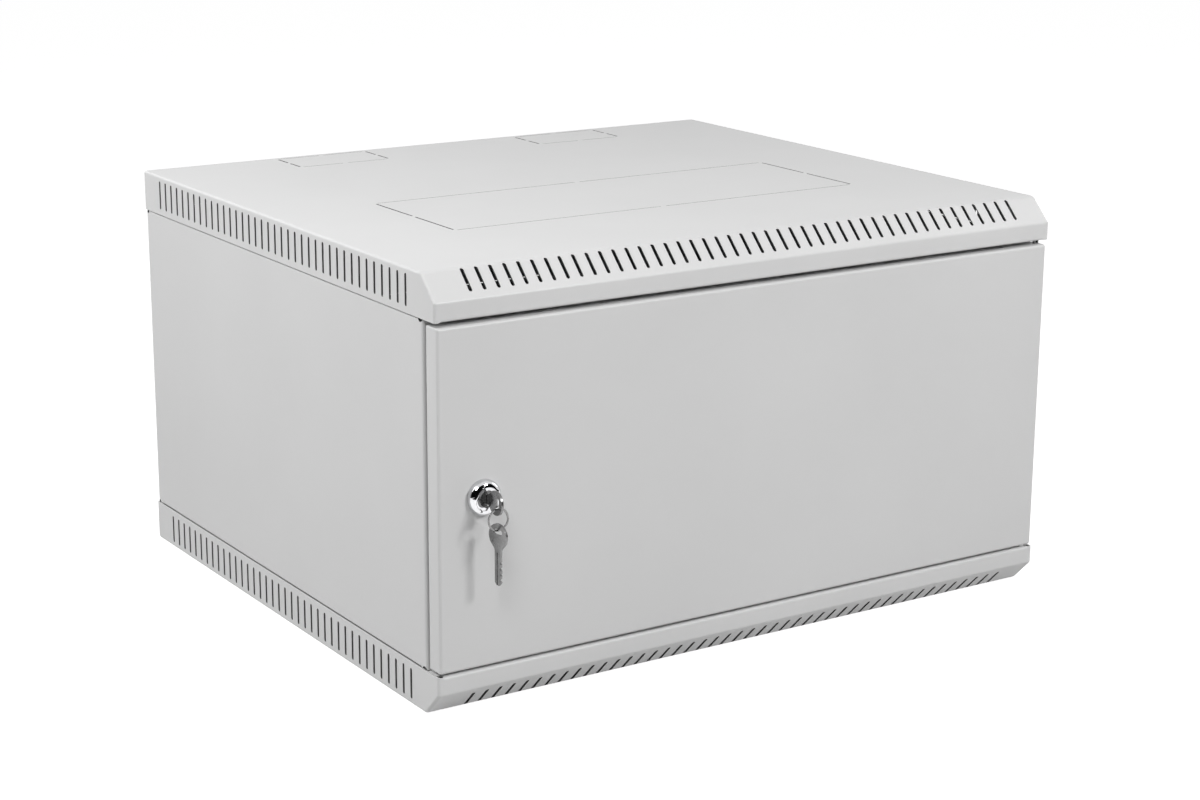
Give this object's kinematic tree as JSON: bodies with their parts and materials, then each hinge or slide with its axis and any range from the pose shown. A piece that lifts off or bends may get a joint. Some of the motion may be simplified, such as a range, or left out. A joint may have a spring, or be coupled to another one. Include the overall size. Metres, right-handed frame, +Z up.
{
  "type": "wall mount network cabinet",
  "caption": "Grey steel wall cabinet for 19-inch network equipment: vented covers, plain lockable door on pin hinges, sliding rack rails.",
  "frame": {"origin": "centre of the base cover's underside", "axes": "+Z up, the door faces -Y, the wall is at +Y, +X to the right seen from the front"},
  "size_m": [0.6, 0.5618, 0.345],
  "materials": {
    "grey_paint": "light grey satin powder coat with a fine orange peel",
    "zinc_plate": "zinc plated steel, satin",
    "bright_steel": "bright turned steel",
    "lock_chrome": "polished chrome",
    "lock_plug_metal": "chrome with a fine turned grain",
    "key_nickel": "nickel plated, worn satin",
    "ring_steel": "bright spring steel"
  },
  "bodies": {
    "cabinet": {"top_cover": "grey_paint", "base_cover": "grey_paint", "rear_panel": "grey_paint", "top_frame_nuts": "zinc_plate", "base_frame_nuts": "zinc_plate", "earth_nut": "zinc_plate", "lower_hinge_pin": "bright_steel", "left_side_panel": "grey_paint", "right_side_panel": "grey_paint", "front_post_left": "grey_paint", "front_post_right": "grey_paint", "rear_post_left": "grey_paint", "rear_post_right": "grey_paint", "lower_beam_left": "zinc_plate", "upper_beam_left": "zinc_plate", "lower_beam_right": "zinc_plate", "upper_beam_right": "zinc_plate"},
    "rail_left": {"rack_rail_left": "zinc_plate", "rail_bolts_left": "zinc_plate", "rail_nuts_left": "zinc_plate"},
    "rail_right": {"rack_rail_right": "zinc_plate", "rail_bolts_right": "zinc_plate", "rail_nuts_right": "zinc_plate"},
    "door": {"door_panel": "grey_paint", "door_stiffener": "grey_paint", "upper_pin_bracket": "zinc_plate", "upper_pin_spring": "bright_steel", "door_earth_nut": "zinc_plate", "lock_body": "lock_chrome", "lock_nut": "zinc_plate"},
    "hinge_pin": {"upper_hinge_pin": "bright_steel"},
    "plug": {"lock_plug": "lock_plug_metal", "lock_cam": "zinc_plate", "cam_screw": "zinc_plate"},
    "key": {"key_in_lock": "key_nickel"},
    "ring": {"key_ring": "ring_steel"},
    "spare": {"spare_key": "key_nickel"}
  },
  "joints": [
    {"name": "door_hinge", "type": "hinge", "parent": "cabinet", "child": "door", "pos_m": [0.293, -0.257, 0.1725], "axis": [0, 0, 1], "range_deg": [0, 180]},
    {"name": "hinge_pin_pull", "type": "slide", "parent": "door", "child": "hinge_pin", "axis": [0, 0, -1], "range_m": [0, 0.009], "stiffness_N_per_m": 400, "springref_m": -0.004, "deforming": ["upper_pin_spring"]},
    {"name": "lock_turn", "type": "hinge", "parent": "door", "child": "plug", "pos_m": [-0.26, -0.265, 0.1725], "axis": [0, -1, 0], "range_deg": [0, 90]},
    {"name": "key_pull", "type": "slide", "parent": "plug", "child": "key", "axis": [0, -1, 0], "range_m": [0, 0.03]},
    {"name": "ring_swing", "type": "hinge", "parent": "key", "child": "ring", "pos_m": [-0.26, -0.2873, 0.16875], "axis": [1, 0, 0], "range_deg": [-60, 10]},
    {"name": "spare_key_swing", "type": "hinge", "parent": "ring", "child": "spare", "pos_m": [-0.26, -0.2873, 0.15215], "axis": [1, 0, 0], "range_deg": [-60, 10]},
    {"name": "left_rail_slide", "type": "slide", "parent": "cabinet", "child": "rail_left", "axis": [0, 1, 0], "range_m": [0, 0.22]},
    {"name": "right_rail_slide", "type": "slide", "parent": "cabinet", "child": "rail_right", "axis": [0, 1, 0], "range_m": [0, 0.22]}
  ]
}
